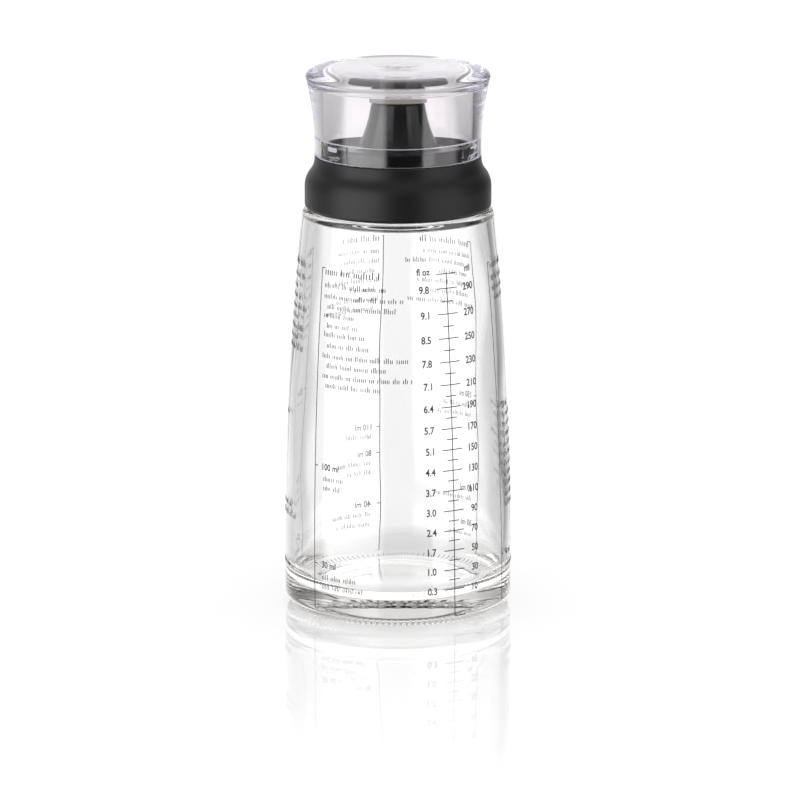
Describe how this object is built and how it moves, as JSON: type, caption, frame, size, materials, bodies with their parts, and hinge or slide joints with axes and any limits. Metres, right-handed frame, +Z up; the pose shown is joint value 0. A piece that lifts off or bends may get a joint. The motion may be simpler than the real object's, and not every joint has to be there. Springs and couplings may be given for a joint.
{
  "type": "dressing shaker bottle",
  "caption": "Tapered glass shaker bottle for mixing and pouring salad dressing, with a black screw collar, a conical pouring spout and a thick clear screw cap.",
  "frame": {"origin": "centre of the ring that stands on the table, at the table's surface", "axes": "+Z up along the bottle's axis of revolution; -Y is the side that the picture shows"},
  "size_m": [0.0698, 0.0698, 0.1669],
  "materials": {
    "clear_glass": "moulded clear soda-lime glass, gloss",
    "soft_black": "fine matt moulded plastic",
    "gloss_black": "gloss moulded plastic",
    "clear_plastic": "thick clear gloss moulded plastic",
    "silicone": "translucent milky silicone"
  },
  "bodies": {
    "bottle": {"glass_bottle": "clear_glass"},
    "pourer_insert": {"pourer": "gloss_black", "neck_gasket": "silicone"},
    "screw_collar": {"collar": "soft_black"},
    "seal": {"spout_seal": "silicone"},
    "cap": {"clear_cap": "clear_plastic"}
  },
  "joints": [
    {"name": "lid_lift", "type": "slide", "parent": "bottle", "child": "pourer_insert", "axis": [0, 0, 1], "range_m": [0, 0.016]},
    {"name": "collar_turn", "type": "hinge", "parent": "pourer_insert", "child": "screw_collar", "pos_m": [0, 0, 0.13], "axis": [0, 0, 1], "range_deg": [0, 720]},
    {"name": "cap_lift", "type": "slide", "parent": "pourer_insert", "child": "seal", "axis": [0, 0, 1], "range_m": [0, 0.024]},
    {"name": "cap_turn", "type": "hinge", "parent": "seal", "child": "cap", "pos_m": [0, 0, 0.15], "axis": [0, 0, 1], "range_deg": [0, 540]}
  ],
  "couplings": [
    {"joint": "lid_lift", "follows": "collar_turn", "m_per_rad": 0.0012732},
    {"joint": "cap_lift", "follows": "cap_turn", "m_per_rad": 0.0025465}
  ]
}
